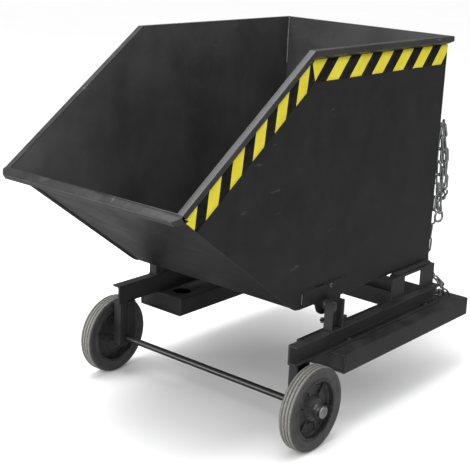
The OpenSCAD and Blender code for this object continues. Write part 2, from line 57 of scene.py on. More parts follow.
class Finish:
    """A material and the nodes that build it up."""

    def __init__(self, name):
        self.mat = bpy.data.materials.new(name)
        self.mat.use_nodes = True
        self.tree = self.mat.node_tree
        self.tree.nodes.clear()
        self.skin = self.add("ShaderNodeBsdfPrincipled")
        out = self.add("ShaderNodeOutputMaterial")
        self.tree.links.new(self.skin.outputs["BSDF"], out.inputs["Surface"])
        coords = self.add("ShaderNodeTexCoord")
        self.place = coords.outputs["Object"]
        self.uv = coords.outputs["UV"]
        self.facing = coords.outputs["Normal"]

    def add(self, kind, **settings):
        node = self.tree.nodes.new(kind)
        for key, value in settings.items():
            setattr(node, key, value)
        return node

    def feed(self, node, socket, value):
        target = node.inputs[socket]
        if isinstance(value, bpy.types.NodeSocket):
            self.tree.links.new(value, target)
        else:
            target.default_value = value

    def maths(self, act, a, b=0.0):
        node = self.add("ShaderNodeMath", operation=act)
        self.feed(node, 0, a)
        self.feed(node, 1, b)
        return node.outputs[0]

    def stretch(self, source, scale=(1, 1, 1), turn=(0, 0, 0), shift=(0, 0, 0)):
        node = self.add("ShaderNodeMapping")
        self.feed(node, "Vector", source)
        node.inputs["Location"].default_value = shift
        node.inputs["Rotation"].default_value = turn
        node.inputs["Scale"].default_value = scale
        return node.outputs[0]

    def split(self, source):
        node = self.add("ShaderNodeSeparateXYZ")
        self.feed(node, 0, source)
        return node.outputs

    def cloud(self, scale, detail=3.0, rough=0.55, source=None):
        node = self.add("ShaderNodeTexNoise")
        self.feed(node, "Vector", source or self.place)
        node.inputs["Scale"].default_value = scale
        node.inputs["Detail"].default_value = detail
        node.inputs["Roughness"].default_value = rough
        return node.outputs["Fac"]

    def cells(self, scale, feature="F1"):
        node = self.add("ShaderNodeTexVoronoi", feature=feature)
        self.feed(node, "Vector", self.place)
        node.inputs["Scale"].default_value = scale
        return node

    def span(self, source, low, high, to_low=0.0, to_high=1.0):
        node = self.add("ShaderNodeMapRange")
        self.feed(node, "Value", source)
        for socket, value in zip(("From Min", "From Max", "To Min", "To Max"),
                                 (low, high, to_low, to_high)):
            node.inputs[socket].default_value = value
        return node.outputs[0]

    def blend(self, share, a, b):
        node = self.add("ShaderNodeMix", data_type="RGBA")
        self.feed(node, 0, share)
        self.feed(node, 6, a if isinstance(a, bpy.types.NodeSocket) else (*a, 1.0))
        self.feed(node, 7, b if isinstance(b, bpy.types.NodeSocket) else (*b, 1.0))
        return node.outputs[2]

    def relief(self, *layers):
        """Bump layers from coarse to fine, each (height, depth in metres, strength)."""
        normal = None
        for height, depth, strength in layers:
            node = self.add("ShaderNodeBump")
            self.feed(node, "Height", height)
            node.inputs["Distance"].default_value = depth
            node.inputs["Strength"].default_value = strength
            if normal is not None:
                self.feed(node, "Normal", normal)
            normal = node.outputs[0]
        self.feed(self.skin, "Normal", normal)

    def set(self, **values):
        for key, value in values.items():
            socket = key.replace("_", " ").title().replace("Ior", "IOR")
            if not isinstance(value, bpy.types.NodeSocket) and isinstance(value, tuple):
                value = (*value, 1.0)
            self.feed(self.skin, socket, value)
        return self


def powder_coat(name, tone, gloss=0.42, dust=0.5, wear=0.0, shine=0.28, haze=0.0):
    """Satin black powder coat: orange peel, faint sheet waviness, dust, worn scuffs and, when haze is given,
    a lighter mottled patch near the lip that is painted reflection and dust.
    """
    f = Finish(name)
    patches = f.cloud(5.5, 5, 0.6)
    drift = f.cloud(1.7, 4, 0.55, f.stretch(f.place, (1, 1, 0.5)))
    specks = f.span(f.cells(420).outputs["Distance"], 0.05, 0.16, 1, 0)
    rare = f.span(f.cloud(26, 2, 0.5), 0.62, 0.7)
    up = f.span(f.split(f.facing)[2], 0.55, 1.0)
    light = tuple(c * 1.3 + 0.001 for c in tone)
    deep = tuple(c * 0.85 for c in tone)
    coat = f.blend(f.span(patches, 0.35, 0.68), deep, light)
    coat = f.blend(f.maths("MULTIPLY", f.span(drift, 0.42, 0.72), 0.35), coat, light)
    film = f.maths("MULTIPLY", f.maths("ADD", f.maths("MULTIPLY", up, 0.6), 0.16),
                   f.span(f.cloud(11, 6, 0.68), 0.42, 0.78))
    coat = f.blend(f.maths("MULTIPLY", film, dust), coat, (0.21, 0.2, 0.185))
    nib = f.maths("MULTIPLY", specks, rare)
    coat = f.blend(f.maths("MULTIPLY", nib, 0.3), coat, (0.2, 0.2, 0.2))
    if wear:
        scuff = f.span(f.cloud(34, 5, 0.7, f.stretch(f.place, (1, 0.25, 1))), 0.66, 0.7)
        coat = f.blend(f.maths("MULTIPLY", scuff, wear), coat, (0.16, 0.16, 0.165))
    # Painted reflection and dust: faces towards the front and below the rim turn lighter in a mottled patch,
    # standing in for a glossy reflection as well as dust.
    if haze:
        _, y, z = f.split(f.place)
        lip_sheen_zone = f.maths("MULTIPLY", f.span(f.maths("MULTIPLY", y, -1), 0.22, 0.62),
                           f.span(z, 1.02, 0.84))
        lit_and_rubbed = f.span(f.cloud(9, 6, 0.62), 0.3, 0.72, 0.35, 1)
        coat = f.blend(f.maths("MULTIPLY", f.maths("MULTIPLY", lip_sheen_zone, lit_and_rubbed), haze), coat,
                       (0.16, 0.158, 0.155))
    lines = f.cloud(60, 3, 0.6, f.stretch(f.place, (0.06, 1, 1), (0.3, 0.7, 0.2)))
    dull = f.maths("ADD", f.span(patches, 0.3, 0.75, gloss - 0.07, gloss + 0.1),
                   f.maths("MULTIPLY", f.span(lines, 0.62, 0.7), 0.1))
    f.set(base_color=coat, roughness=f.maths("ADD", dull, f.maths("MULTIPLY", film, 0.25)))
    f.set(specular_ior_level=shine)
    f.relief((f.cloud(3.1, 2, 0.5), 0.0035, 0.22), (f.cloud(520, 2, 0.5), 0.0002, 0.16),
             (nib, 0.0003, 0.2))
    return f.mat


def zinc_plate(name, tone=(0.6, 0.61, 0.62), rough=0.3, spangle=90):
    """Bright zinc with spangle, fine scratches and dull spots."""
    f = Finish(name)
    crystals = f.cells(spangle).outputs["Color"]
    grey = f.add("ShaderNodeRGBToBW")
    f.feed(grey, 0, crystals)
    grain = grey.outputs[0]
    tarnish = f.span(f.cloud(38, 5, 0.65), 0.45, 0.75)
    tint = f.blend(f.span(grain, 0.2, 0.8), tuple(c * 0.78 for c in tone), tone)
    tint = f.blend(f.maths("MULTIPLY", tarnish, 0.5), tint, (0.3, 0.29, 0.27))
    fine = f.cloud(900, 2, 0.5, f.stretch(f.place, (0.15, 1, 1), (0.4, 0.2, 0.9)))
    f.set(base_color=tint, metallic=1.0,
          roughness=f.maths("ADD", f.span(grain, 0, 1, rough - 0.06, rough + 0.08),
                            f.maths("MULTIPLY", tarnish, 0.22)))
    f.relief((f.cloud(160, 3, 0.6), 0.0004, 0.25), (fine, 0.00008, 0.3))
    return f.mat


def drawn_bar(name, tone):
    """Drawn steel bar with grooves round it, oil and a little rust."""
    f = Finish(name)
    rings = f.cloud(420, 3, 0.6, f.stretch(f.place, (1, 0.12, 0.12)))
    rust = f.span(f.cloud(48, 6, 0.7), 0.6, 0.74)
    tint = f.blend(f.span(rings, 0.3, 0.7), tuple(c * 0.7 for c in tone), tone)
    tint = f.blend(f.maths("MULTIPLY", rust, 0.45), tint, (0.12, 0.075, 0.045))
    f.set(base_color=tint, metallic=0.85,
          roughness=f.maths("ADD", 0.36, f.maths("MULTIPLY", rust, 0.4)))
    f.relief((rings, 0.0001, 0.35), (f.cloud(70, 4, 0.6), 0.0004, 0.15))
    return f.mat


def tyre_rubber(name, centre, tread_from):
    """Solid rubber: dark sidewalls with moulding rings, and a dusty worn tread."""
    f = Finish(name)
    _, y, z = f.split(f.stretch(f.place, shift=tuple(-c for c in centre)))
    reach = f.maths("SQRT", f.maths("ADD", f.maths("MULTIPLY", y, y), f.maths("MULTIPLY", z, z)))
    on_tread = f.span(reach, tread_from - 0.0012, tread_from + 0.0008)
    mottle = f.cloud(58, 5, 0.65)
    wall = f.blend(f.span(mottle, 0.35, 0.7), (0.036, 0.036, 0.037), (0.068, 0.067, 0.065))
    worn = f.blend(f.span(f.cloud(120, 5, 0.7), 0.3, 0.7), (0.11, 0.108, 0.1), (0.225, 0.222, 0.207))
    dirt = f.span(f.cloud(22, 5, 0.7), 0.55, 0.72)
    worn = f.blend(f.maths("MULTIPLY", dirt, 0.55), worn, (0.12, 0.115, 0.1))
    f.set(base_color=f.blend(on_tread, wall, worn),
          roughness=f.maths("ADD", f.span(mottle, 0.3, 0.7, 0.34, 0.46),
                            f.maths("MULTIPLY", on_tread, 0.2)))
    f.set(specular_ior_level=0.5)
    rings = f.maths("SINE", f.maths("MULTIPLY", reach, 2100))
    mould = f.maths("MULTIPLY", f.span(rings, 0.55, 1), f.maths("SUBTRACT", 1, on_tread))
    f.relief((mould, 0.0005, 0.3), (f.cloud(700, 3, 0.6), 0.0003, 0.35))
    return f.mat


def moulded_plastic(name, tone=(0.026, 0.026, 0.028), rough=0.42):
    """Moulded black plastic or cast disc with a fine spark-eroded grain."""
    f = Finish(name)
    haze = f.cloud(30, 5, 0.62)
    tint = f.blend(f.span(haze, 0.35, 0.72), tone, tuple(c * 2.3 + 0.01 for c in tone))
    f.set(base_color=tint, roughness=f.span(haze, 0.3, 0.75, rough - 0.06, rough + 0.14))
    f.relief((f.cloud(9, 3, 0.5), 0.0012, 0.12), (f.cells(850).outputs["Distance"], 0.0002, 0.22))
    return f.mat


def pad_rubber(name):
    f = Finish(name)
    haze = f.cloud(75, 5, 0.6)
    f.set(base_color=f.blend(haze, (0.014, 0.014, 0.014), (0.045, 0.044, 0.042)), roughness=0.75)
    f.relief((f.cells(620).outputs["Distance"], 0.0003, 0.35), (haze, 0.0005, 0.2))
    return f.mat


def warning_tape(name):
    """Yellow and black stripes laid along the tape's own length, with scratches and lifted grime."""
    f = Finish(name)
    u = f.split(f.uv)[0]
    wobble = f.maths("MULTIPLY", f.maths("SUBTRACT", f.cloud(90, 2, 0.5), 0.5), 0.012)
    phase = f.maths("FRACT", f.maths("ADD", u, wobble))
    yellow = f.maths("MULTIPLY", f.maths("GREATER_THAN", phase, 0.0),
                     f.maths("LESS_THAN", phase, 0.515))
    fade = f.cloud(16, 5, 0.6)
    gold = f.blend(f.span(fade, 0.35, 0.7), (0.57, 0.48, 0.014), (0.65, 0.58, 0.052))
    ink = f.blend(f.span(f.cloud(40, 4, 0.6), 0.4, 0.7), (0.004, 0.0036, 0.0034),
                  (0.011, 0.010, 0.009))
    face = f.blend(yellow, ink, gold)
    rub = f.span(f.cloud(70, 6, 0.75, f.stretch(f.place, (1, 0.3, 1), (0.6, 0, 0))), 0.68, 0.74)
    face = f.blend(f.maths("MULTIPLY", rub, 0.35), face, (0.2, 0.19, 0.16))
    film = f.span(f.cloud(8, 5, 0.65), 0.45, 0.8)
    face = f.blend(f.maths("MULTIPLY", film, 0.03), face, (0.26, 0.24, 0.2))
    weave = f.cells(900, feature="SMOOTH_F1").outputs["Distance"]
    f.set(base_color=face, roughness=f.maths("ADD", 0.34, f.maths("MULTIPLY", film, 0.25)))
    f.set(specular_ior_level=0.12)
    f.relief((f.cloud(55, 3, 0.5), 0.0004, 0.12), (weave, 0.0001, 0.15))
    return f.mat


def weld_metal(name, tone, shine):
    """Weld bead, a little brighter on its ripples."""
    f = Finish(name)
    haze = f.cloud(140, 4, 0.6)
    f.set(base_color=f.blend(f.span(haze, 0.35, 0.7), tone, tuple(c * 2.6 for c in tone)),
          roughness=f.span(haze, 0.3, 0.7, 0.32, 0.5), metallic=shine, specular_ior_level=0.3)
    f.relief((f.cloud(900, 2, 0.5), 0.0002, 0.3))
    return f.mat


TUB = powder_coat("anthracite tub coat", (0.0100, 0.0101, 0.0103), 0.40, 0.14, 0.12)
# Inside faces: a copy of the tub coat several times lighter than the outside, painted light; its last value
# adds a lighter mottled patch near the lip, painted reflection and dust.
TUB_INSIDE_LIT = powder_coat("anthracite coat inside the tub", (0.036, 0.036, 0.0366), 0.42, 0.12, 0.2, 0.3, 0.5)
# Lighter copy of the tub coat for bevel faces: painted highlight along the edges, with some wear.
TUB_EDGE_LIT = powder_coat("rubbed tub edge", (0.034, 0.034, 0.035), 0.36, 0.15, 0.4)
RIM = powder_coat("handled rim coat", (0.021, 0.021, 0.0217), 0.34, 0.2, 0.5, 0.4)
BASE = powder_coat("anthracite frame coat", (0.0215, 0.0217, 0.0222), 0.44, 0.16, 0.2, 0.22)
# Lighter copy of the frame coat for bevel faces and painted bolts: painted highlight, with some wear.
BASE_EDGE_LIT = powder_coat("rubbed frame edge", (0.036, 0.036, 0.037), 0.38, 0.2, 0.5)
ZINC = zinc_plate("zinc plate")
CHAIN = zinc_plate("galvanised chain", (0.62, 0.63, 0.64), 0.27, 160)
BAR = drawn_bar("drawn bar", (0.085, 0.084, 0.084))
DISC = moulded_plastic("moulded disc", (0.016, 0.016, 0.0165), 0.26)
PAD = pad_rubber("pad rubber")
TAPE = warning_tape("warning tape")
WELD = weld_metal("painted weld", (0.014, 0.014, 0.0145), 0.0)
# Bright bare-metal weld used only on the lines that catch a highlight: weld metal that is also a painted
# highlight.
HIGHLIGHT_WELD = weld_metal("highlit_brushed weld", (0.2, 0.2, 0.205), 0.7)


# ---------- building helpers ----------

def piece(name, mesh, body, swaps=()):
    """Puts a finished mesh on its body and hides the nodes it stands in for."""
    ob = bpy.data.objects.new(name, mesh)
    scene.collection.objects.link(ob)
    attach(ob, body)
    if swaps:
        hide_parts(*swaps)
    return ob


def settled(ob, name):
    """The evaluated object as a plain mesh."""
    bpy.context.view_layer.update()
    graph = bpy.context.evaluated_depsgraph_get()
    mesh = bpy.data.meshes.new_from_object(ob.evaluated_get(graph), depsgraph=graph)
    mesh.name = name
    bpy.data.objects.remove(ob)
    return mesh


def loose(name, mesh):
    ob = bpy.data.objects.new(name, mesh)
    scene.collection.objects.link(ob)
    return ob


def body_of(node):
    for body, members in frame["record"]["behaviour"]["bodies"].items():
        if node in members:
            return body


def softened(node, finish, edge=None, width=0.6, steps=2, lit_lining=None, toward=None):
    """The same piece with its cut edges broken, the bevels in the edge finish where one is given (a lighter
    coat, painted highlight), and a lighter copy of the coat on the faces that look one way (painted light).
    """
    mesh = parts[node].data.copy()
    mesh.materials.clear()
    mesh.materials.append(finish)
    mesh.materials.append(edge or finish)
    if lit_lining:
        mesh.materials.append(lit_lining)
    bm = bmesh.new()
    bm.from_mesh(mesh)
    bmesh.ops.remove_doubles(bm, verts=bm.verts, dist=2e-6)
    bmesh.ops.dissolve_limit(bm, angle_limit=math.radians(0.6), verts=bm.verts, edges=bm.edges)
    for face in bm.faces:
        # Faces that look the given way take the lighter inside coat, painted light.
        face.material_index = 2 if lit_lining and face.normal.dot(Vector(toward)) > 0.9 else 0
        face.smooth = True
    bm.to_mesh(mesh)
    bm.free()
    for layer in list(mesh.attributes):
        if layer.name in ("sharp_face", "sharp_edge", "custom_normal"):
            mesh.attributes.remove(layer)
    ob = loose(node, mesh)
    mod = ob.modifiers.new("broken edge", "BEVEL")
    mod.width = width * MM
    mod.segments = steps
    mod.limit_method = "ANGLE"
    mod.angle_limit = math.radians(32)
    mod.use_clamp_overlap = True
    mod.harden_normals = True
    # Bevel faces take the edge finish, a lighter coat that paints a highlight along the edges.
    mod.material = 1 if edge else 0
    done = settled(ob, node)
    return piece(node + "_finished", done, body_of(node), (node,))


def coated(node, finish):
    """Gives a carried-over node a finish of its own."""
    for slot in parts[node].material_slots:
        slot.material = finish


class Tree:
    """A geometry node tree with named inputs."""

    def __init__(self, name, **sizes):
        self.group = bpy.data.node_groups.new(name, "GeometryNodeTree")
        face = self.group.interface
        face.new_socket("Geometry", in_out="INPUT", socket_type="NodeSocketGeometry")
        face.new_socket("Geometry", in_out="OUTPUT", socket_type="NodeSocketGeometry")
        self.sizes = {}
        for key, value in sizes.items():
            kind = "NodeSocketInt" if isinstance(value, int) else "NodeSocketFloat"
            item = face.new_socket(key.replace("_", " "), in_out="INPUT", socket_type=kind)
            item.default_value = value
            self.sizes[item.identifier] = value
        self.start = self.add("NodeGroupInput")
        self.end = self.add("NodeGroupOutput")

    def add(self, kind, **settings):
        node = self.group.nodes.new(kind)
        for key, value in settings.items():
            setattr(node, key, value)
        return node

    def wire(self, source, node, socket):
        self.group.links.new(source, node.inputs[socket])

    def size(self, key):
        return self.start.outputs[key.replace("_", " ")]

    def maths(self, act, *values):
        node = self.add("ShaderNodeMath", operation=act)
        for k, value in enumerate(values):
            if isinstance(value, bpy.types.NodeSocket):
                self.wire(value, node, k)
            else:
                node.inputs[k].default_value = value
        return node.outputs[0]

    def close(self, source, finish):
        real = self.add("GeometryNodeRealizeInstances")
        self.wire(source, real, "Geometry")
        paint = self.add("GeometryNodeSetMaterial")
        self.wire(real.outputs[0], paint, "Geometry")
        paint.inputs["Material"].default_value = finish
        self.wire(paint.outputs[0], self.end, 0)

    def grow(self, name, mesh, **sizes):
        ob = loose(name, mesh)
        mod = ob.modifiers.new(self.group.name, "NODES")
        mod.node_group = self.group
        for item in self.group.interface.items_tree:
            key = item.name.replace(" ", "_")
            if item.in_out == "INPUT" and key in sizes:
                mod[item.identifier] = sizes[key]
        done = settled(ob, name)
        for layer in list(done.attributes):
            if layer.name in ("turn", "lean"):
                done.attributes.remove(layer)
        return done


def line_mesh(name, runs):
    """Polylines in metres as a mesh of loose edges."""
    verts, edges = [], []
    for run in runs:
        start = len(verts)
        verts += [tuple(p) for p in run]
        edges += [(start + i, start + i + 1) for i in range(len(run) - 1)]
    mesh = bpy.data.meshes.new(name)
    mesh.from_pydata(verts, edges, [])
    return mesh


# ---------- sizes that the pieces share, in metres ----------

MOUTH = math.radians(35.78)
CORNER_Y, RIM_Z = -0.1673, 1.1314
LIP_Z = 0.7599
LIP_Y = CORNER_Y - (RIM_Z - LIP_Z) / math.tan(MOUTH)
FRONT = math.radians(35.98)
FRONT_PT = Vector((-0.6792, 0.7675))
FRONT_DIR = Vector((math.cos(FRONT), -math.sin(FRONT)))
FRONT_IN = Vector((math.sin(FRONT), math.cos(FRONT)))
MOUTH_DIR = Vector((math.cos(MOUTH), math.sin(MOUTH)))
MOUTH_DOWN = Vector((math.sin(MOUTH), -math.cos(MOUTH)))
LIP_PT = Vector((LIP_Y, LIP_Z))
panel_low, panel_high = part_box("side_panel_near")
INNER_X, OUTER_X = panel_low.x, panel_high.x
REAR_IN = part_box("rear_panel")[0].y
FLOOR_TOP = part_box("floor_plate")[1].z
PANEL_END, PANEL_BOTTOM = panel_high.y, panel_low.z


def cross_at(p, d, q, f):
    """Where the line through p along d meets the line through q along f."""
    w = q - p
    return p + d * ((w.x * f.y - w.y * f.x) / (d.x * f.y - d.y * f.x))


# ---------- hazard tape ----------

TAPE_TOP = 0.0275
TAPE_DROP = 0.062
STRIPE_ON_SLOPE = 0.108
STRIPE_ON_LEVEL = 0.1143


def tape_mesh(name, sign):
    """Two straight lengths of tape that meet in a mitre, with stripe phase in the UV map."""
    edge = FRONT_PT - 0.006 * FRONT_IN
    hi = LIP_PT + TAPE_TOP * MOUTH_DOWN
    lo = LIP_PT + (TAPE_TOP + TAPE_DROP) * MOUTH_DOWN
    flat_hi, flat_lo = Vector((0, RIM_Z - TAPE_TOP)), Vector((0, RIM_Z - TAPE_TOP - TAPE_DROP))
    level = Vector((1, 0))
    nose_hi = cross_at(edge, FRONT_DIR, hi, MOUTH_DIR) + 0.002 * MOUTH_DIR
    nose_lo = cross_at(edge, FRONT_DIR, lo, MOUTH_DIR) + 0.002 * MOUTH_DIR
    bend_hi = cross_at(hi, MOUTH_DIR, flat_hi, level)
    bend_lo = cross_at(lo, MOUTH_DIR, flat_lo, level)
    tail_hi, tail_lo = Vector((PANEL_END - 0.001, flat_hi.y)), Vector((PANEL_END - 0.001, flat_lo.y))
    luck = random.Random(11 if sign > 0 else 12)
    bm = bmesh.new()
    layer = bm.loops.layers.uv.new("stripes")

    def strip(a, b, c, d, count, phase):
        rows = []
        for i in range(count + 1):
            t = i / count
            top, low = a.lerp(b, t), c.lerp(d, t)
            row = []
            for j in range(5):
                p = top.lerp(low, j / 4)
                rim = j in (0, 4) or i in (0, count)
                lift = 0.0004 + (0 if rim else luck.random() * 0.00022)
                row.append((bm.verts.new((sign * (OUTER_X + lift), p.x, p.y)), p))
            rows.append(row)
        for i in range(count):
            for j in range(4):
                quad = [rows[i][j], rows[i + 1][j], rows[i + 1][j + 1], rows[i][j + 1]]
                if sign > 0:
                    quad.reverse()
                face = bm.faces.new([v for v, p in quad])
                face.smooth = True
                for loop, (v, p) in zip(face.loops, quad):
                    loop[layer].uv = (phase(p), p.y)

    def on_slope(p):
        s = (p - LIP_PT).dot(MOUTH_DIR)
        depth = (p - LIP_PT).dot(MOUTH_DOWN) - TAPE_TOP
        return (s + 0.91 * depth - 0.4549) / STRIPE_ON_SLOPE + 20

    def on_level(p):
        return (p.x + 0.88 * (RIM_Z - TAPE_TOP - p.y) + 0.1461) / STRIPE_ON_LEVEL + 20

    strip(nose_hi, bend_hi, nose_lo, bend_lo, 48, on_slope)
    strip(bend_hi, tail_hi, bend_lo, tail_lo, 56, on_level)
    bmesh.ops.remove_doubles(bm, verts=bm.verts, dist=1e-6)
    rim = [e for e in bm.edges if e.is_boundary]
    wall = bmesh.ops.extrude_edge_only(bm, edges=rim)["geom"]
    for v in wall:
        if isinstance(v, bmesh.types.BMVert):
            v.co.x = sign * OUTER_X
    bmesh.ops.recalc_face_normals(bm, faces=bm.faces)
    mesh = bpy.data.meshes.new(name)
    bm.to_mesh(mesh)
    bm.free()
    mesh.materials.append(TAPE)
    return mesh


def lay_tape():
    for side, sign in (("near", 1), ("far", -1)):
        name = f"hazard_tape_{side}_laid"
        piece(name, tape_mesh(name, sign), "tub", (f"hazard_tape_{side}",))


# ---------- welds ----------

def weld_tree(name, finish):
    t = Tree(name, Step=0.0032, Bead=0.0022, Seed=7)
    curve = t.add("GeometryNodeMeshToCurve")
    t.wire(t.start.outputs[0], curve, "Mesh")
    even = t.add("GeometryNodeResampleCurve", mode="LENGTH")
    t.wire(curve.outputs[0], even, "Curve")
    t.wire(t.size("Step"), even, "Length")
    ripple = t.add("GeometryNodeMeshUVSphere")
    ripple.inputs["Segments"].default_value = 8
    ripple.inputs["Rings"].default_value = 5
    t.wire(t.size("Bead"), ripple, "Radius")
    smooth = t.add("GeometryNodeSetShadeSmooth")
    t.wire(ripple.outputs[0], smooth, "Geometry")
    luck = t.add("FunctionNodeRandomValue", data_type="FLOAT_VECTOR")
    luck.inputs[0].default_value = (0.82, 0.82, 0.55)
    luck.inputs[1].default_value = (1.2, 1.2, 0.8)
    t.wire(t.size("Seed"), luck, "Seed")
    along = t.add("GeometryNodeInputTangent")
    aim = t.add("FunctionNodeAlignRotationToVector", axis="Z")
    t.wire(along.outputs[0], aim, "Vector")
    place = t.add("GeometryNodeInstanceOnPoints")
    t.wire(even.outputs[0], place, "Points")
    t.wire(smooth.outputs[0], place, "Instance")
    t.wire(aim.outputs[0], place, "Rotation")
    t.wire(luck.outputs[0], place, "Scale")
    t.close(place.outputs[0], finish)
    return t


def both(runs):
    """The same runs on both sides of the object."""
    return runs + [[(-x, y, z) for x, y, z in run] for run in runs]


def wavy(a, b, seed, sway=0.0006, step=0.03):
    """A hand-laid line from a to b."""
    luck = random.Random(seed)
    a, b = Vector(a), Vector(b)
    count = max(2, int((b - a).length / step))
    out = []
    for i in range(count + 1):
        p = a.lerp(b, i / count)
        if 0 < i < count:
            p += Vector([luck.uniform(-sway, sway) for _ in range(3)])
        out.append(tuple(p))
    return out


def lay_welds():
    tree = weld_tree("painted bead", WELD)
    shiny = weld_tree("highlit_brushed bead", HIGHLIGHT_WELD)
    top_out = cross_at(FRONT_PT, FRONT_DIR, LIP_PT + 0.03 * MOUTH_DOWN, MOUTH_DIR)
    low_out = cross_at(FRONT_PT, FRONT_DIR, Vector((0, 0.392)), Vector((1, 0)))
    inner = FRONT_PT + 0.003 * FRONT_IN
    top_in = cross_at(inner, FRONT_DIR, LIP_PT + 0.006 * MOUTH_DOWN, MOUTH_DIR)
    low_in = cross_at(inner, FRONT_DIR, Vector((0, FLOOR_TOP)), Vector((1, 0)))
    x = INNER_X - 0.0006
    runs = both([
        wavy((x, top_out.x, top_out.y), (x, low_out.x, low_out.y), 1),
        wavy((x, top_in.x, top_in.y), (x, low_in.x, low_in.y), 2),
        wavy((x, REAR_IN - 0.0006, FLOOR_TOP), (x, REAR_IN - 0.0006, RIM_Z - 0.004), 3),
        wavy((x, low_in.x, FLOOR_TOP + 0.0006), (x, REAR_IN, FLOOR_TOP + 0.0006), 4),
        wavy((x, REAR_IN + 0.0036, PANEL_BOTTOM + 0.006), (x, REAR_IN + 0.0036, RIM_Z - 0.03), 5),
        wavy((x, low_out.x + 0.01, 0.3904), (x, REAR_IN, 0.3904), 6),
    ])
    runs.append(wavy((-x, REAR_IN - 0.0006, FLOOR_TOP + 0.0006),
                     (x, REAR_IN - 0.0006, FLOOR_TOP + 0.0006), 7))
    mesh = tree.grow("tub_welds", line_mesh("tub seams", runs), Step=0.0032, Bead=0.0021)
    piece("tub_welds", mesh, "tub")

    ear_low, ear_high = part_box("pivot_ear_near")
    ox = OUTER_X + 0.0006
    ear_top = ear_high.z + 0.0004
    runs = both([
        wavy((ox, ear_low.y + 0.004, ear_top), (ox, ear_low.y + 0.06, ear_top), 8),
        wavy((ox, -0.03, ear_top), (ox, 0.03, ear_top), 9),
        wavy((ox, ear_high.y - 0.004, ear_top), (ox, ear_high.y - 0.045, ear_top), 10),
        wavy((ox, ear_high.y + 0.0004, 0.39), (ox, ear_high.y + 0.0004, 0.436), 12),
    ])
    mesh = tree.grow("ear_welds", line_mesh("ear seams", runs), Step=0.0036, Bead=0.0027, Seed=9)
    piece("ear_welds", mesh, "tub")

    # Welds in the bright finish, on the far rear corner and the ear front edges where a highlight falls: in
    # part a painted highlight.
    corner_x, corner_y = -x + 0.0012, REAR_IN - 0.0018
    runs = [wavy((corner_x, corner_y, RIM_Z - 0.16), (corner_x, corner_y, RIM_Z - 0.004), 50),
            wavy((ox, ear_low.y - 0.0004, 0.402), (ox, ear_low.y - 0.0004, 0.434), 11),
            wavy((-ox, ear_low.y - 0.0004, 0.402), (-ox, ear_low.y - 0.0004, 0.434), 11)]
    mesh = shiny.grow("tub_bright_welds", line_mesh("bright seams", runs), Step=0.003, Bead=0.0022)
    piece("tub_bright_welds", mesh, "tub")

    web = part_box("channel_near")[0].x
    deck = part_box("channel_near")[0].z
    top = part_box("rear_crossbeam")[1].z
    beam_low, beam_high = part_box("rear_crossbeam")
    up_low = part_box("upright_near")[0]
    leg_low, leg_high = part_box("wheel_bracket_near")
    pocket_low, pocket_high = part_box("fork_pocket_near")
    post_low, post_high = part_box("castor_post")
    foot = up_low.y + 0.06
    t2 = top + 0.0008
    d2 = deck - 0.0008
    side = web - 0.0008
    fore, aft = beam_low.y - 0.0006, beam_high.y + 0.0006
    runs = both([
        wavy((web - 0.0004, up_low.y, t2), (web - 0.0004, foot + 0.03, t2), 20),
        wavy((web, up_low.y - 0.0006, t2), (web + 0.029, up_low.y - 0.0006, t2), 21),
        wavy((web + 0.007, foot + 0.0006, t2), (web + 0.029, foot + 0.0006, t2), 22),
        wavy((web + 0.0064, foot, t2), (web + 0.0064, foot + 0.03, t2), 23),
        wavy((web + 0.0064, 0.319, t2), (web + 0.0064, 0.389, t2), 24),
        wavy((web + 0.0064, 0.496, t2), (web + 0.0064, 0.574, t2), 25),
        wavy((web - 0.0004, 0.319, t2), (web - 0.0004, 0.389, t2), 26),
        wavy((side, fore, deck + 0.004), (side, fore, top - 0.004), 27),
        wavy((side, aft, deck + 0.004), (side, aft, top - 0.004), 28),
        wavy((side, beam_low.y + 0.004, top + 0.0002), (side, beam_high.y - 0.004, top + 0.0002), 29),
        wavy((web + 0.001, leg_low.y - 0.0006, d2), (web + 0.029, leg_low.y - 0.0006, d2), 30),
        wavy((web + 0.001, leg_high.y + 0.0006, d2), (web + 0.029, leg_high.y + 0.0006, d2), 31),
        wavy((web - 0.0064, -0.174, d2), (web - 0.0064, -0.149, d2), 32),
        wavy((web - 0.0006, pocket_low.y + 0.01, deck + 0.0008), (web - 0.0006, 0.05, deck + 0.0008), 33),
        wavy((web - 0.0006, 0.22, deck + 0.0008), (web - 0.0006, 0.27, deck + 0.0008), 34),
        wavy((web + 0.031, 0.10, deck + 0.0008), (web + 0.031, 0.15, deck + 0.0008), 35),
        wavy((web + 0.031, 0.33, deck + 0.0008), (web + 0.031, 0.38, deck + 0.0008), 36),
        wavy((web + 0.031, 0.53, deck + 0.0008), (web + 0.031, 0.58, deck + 0.0008), 37),
        wavy((web + 0.002, 0.5878, deck + 0.0008), (web + 0.028, 0.5878, deck + 0.0008), 38),
    ])
    post_mid, foot = (post_low.y + post_high.y) / 2, post_low.z + 0.0066
    for s in (1, -1):
        runs.append(wavy((s * 0.0184, post_mid - 0.016, foot), (s * 0.0184, post_mid + 0.016, foot), 40))
        runs.append(wavy((-0.016, post_mid + s * 0.0184, foot), (0.016, post_mid + s * 0.0184, foot), 41))
    mesh = tree.grow("frame_welds", line_mesh("frame seams", runs), Step=0.0036, Bead=0.0026, Seed=5)
    piece("frame_welds", mesh, "frame")

    plate_low, plate_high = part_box("pocket_end_plates")
    y = plate_low.y - 0.0004
    x0, x1 = pocket_low.x + 0.0054, pocket_high.x - 0.0054
    z0, z1 = plate_low.z + 0.0004, plate_high.z - 0.0004
    ring = [(x0, y, z0), (x1, y, z0), (x1, y, z1), (x0, y, z1), (x0, y, z0)]
    mesh = tree.grow("pocket_welds", line_mesh("pocket seams", both([ring])), Step=0.0034,
                     Bead=0.0022, Seed=3)
    piece("pocket_welds", mesh, "frame")
